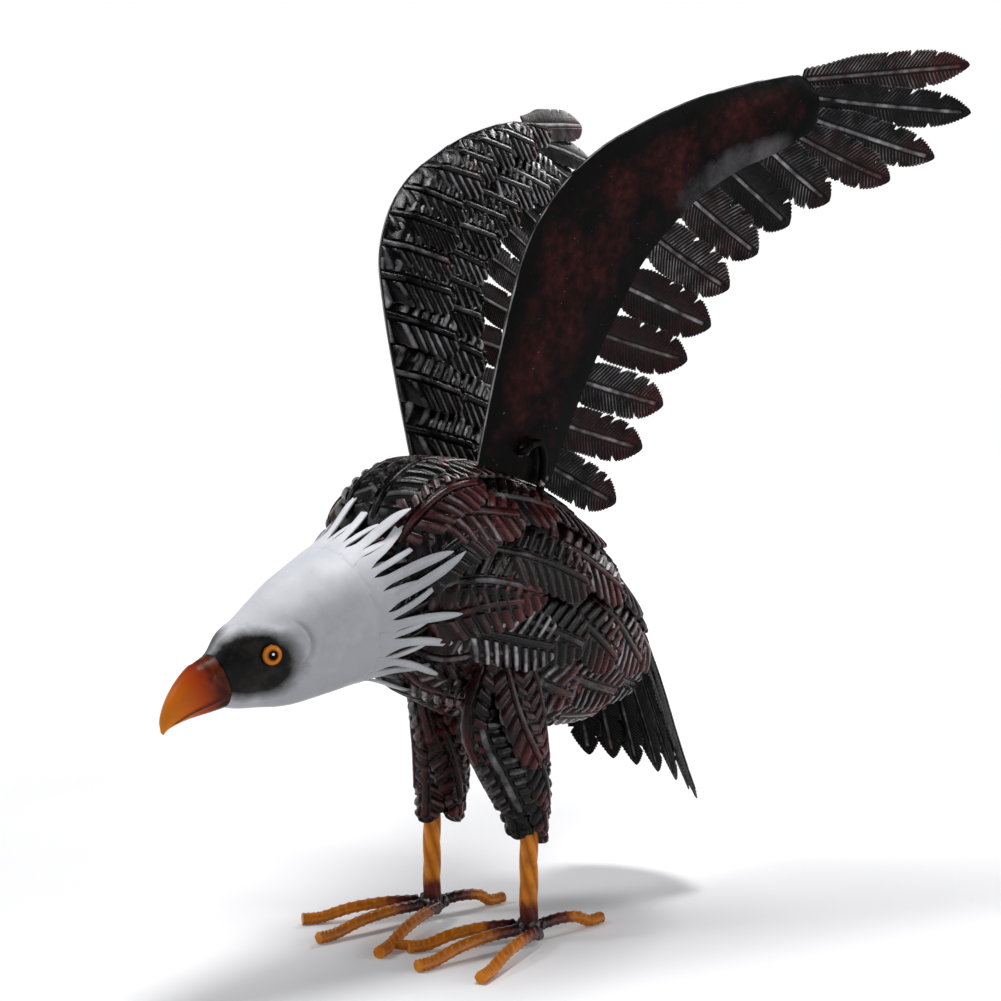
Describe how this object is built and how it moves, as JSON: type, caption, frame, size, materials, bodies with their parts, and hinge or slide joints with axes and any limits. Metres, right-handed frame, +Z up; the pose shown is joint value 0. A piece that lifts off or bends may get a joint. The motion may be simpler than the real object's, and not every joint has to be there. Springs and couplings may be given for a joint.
{
  "type": "scrap metal eagle sculpture",
  "caption": "Standing eagle with both wings raised, made of embossed sheet steel feathers, with a white painted head, orange beak and feet of twisted and ribbed bar.",
  "frame": {"origin": "centre of the bounding box on the floor that the toes stand on", "axes": "+Z up, the bird looks along -Y, its left side is +X"},
  "size_m": [0.3534, 0.5796, 0.5837],
  "materials": {
    "feather_steel": "near-black lacquer over embossed steel, dark red towards the feather tips, greyish highlights on the ridges, semi-gloss",
    "plate_steel": "near-black lacquer with sponged dark red mottling, semi-gloss",
    "white_paint": "white paint with grey shading and a black airbrushed patch around each eye, satin",
    "beak_paint": "orange paint, dark red towards the head, semi-gloss",
    "eye_paint": "amber iris with a black pupil, high gloss",
    "leg_paint": "yellow-orange lacquer over bar, brown-purple at the ankles, semi-gloss"
  },
  "bodies": {
    "root": {"torso": "feather_steel", "neck_and_head": "white_paint", "beak": "beak_paint", "left_eye": "eye_paint", "left_wing_plate": "plate_steel", "left_wing_coverts": "feather_steel", "left_wing_hook": "plate_steel", "left_flight_feather_01": "feather_steel", "left_flight_feather_02": "feather_steel", "left_flight_feather_03": "feather_steel", "left_flight_feather_04": "feather_steel", "left_flight_feather_05": "feather_steel", "left_flight_feather_06": "feather_steel", "left_flight_feather_07": "feather_steel", "left_flight_feather_08": "feather_steel", "left_flight_feather_09": "feather_steel", "left_flight_feather_10": "feather_steel", "left_flight_feather_11": "feather_steel", "left_flight_feather_12": "feather_steel", "left_flight_feather_13": "feather_steel", "left_leg": "leg_paint", "left_toe_inner": "leg_paint", "left_toe_middle": "leg_paint", "left_toe_outer": "leg_paint", "left_toe_hind": "leg_paint", "right_eye": "eye_paint", "right_wing_plate": "plate_steel", "right_wing_coverts": "feather_steel", "right_wing_hook": "plate_steel", "right_flight_feather_01": "feather_steel", "right_flight_feather_02": "feather_steel", "right_flight_feather_03": "feather_steel", "right_flight_feather_04": "feather_steel", "right_flight_feather_05": "feather_steel", "right_flight_feather_06": "feather_steel", "right_flight_feather_07": "feather_steel", "right_flight_feather_08": "feather_steel", "right_flight_feather_09": "feather_steel", "right_flight_feather_10": "feather_steel", "right_flight_feather_11": "feather_steel", "right_flight_feather_12": "feather_steel", "right_flight_feather_13": "feather_steel", "right_leg": "leg_paint", "right_toe_inner": "leg_paint", "right_toe_middle": "leg_paint", "right_toe_outer": "leg_paint", "right_toe_hind": "leg_paint", "tail_feather_1": "feather_steel", "tail_feather_2": "feather_steel", "tail_feather_3": "feather_steel", "tail_feather_4": "feather_steel", "tail_feather_5": "feather_steel", "tail_feather_6": "feather_steel", "tail_feather_7": "feather_steel"}
  },
  "joints": []
}
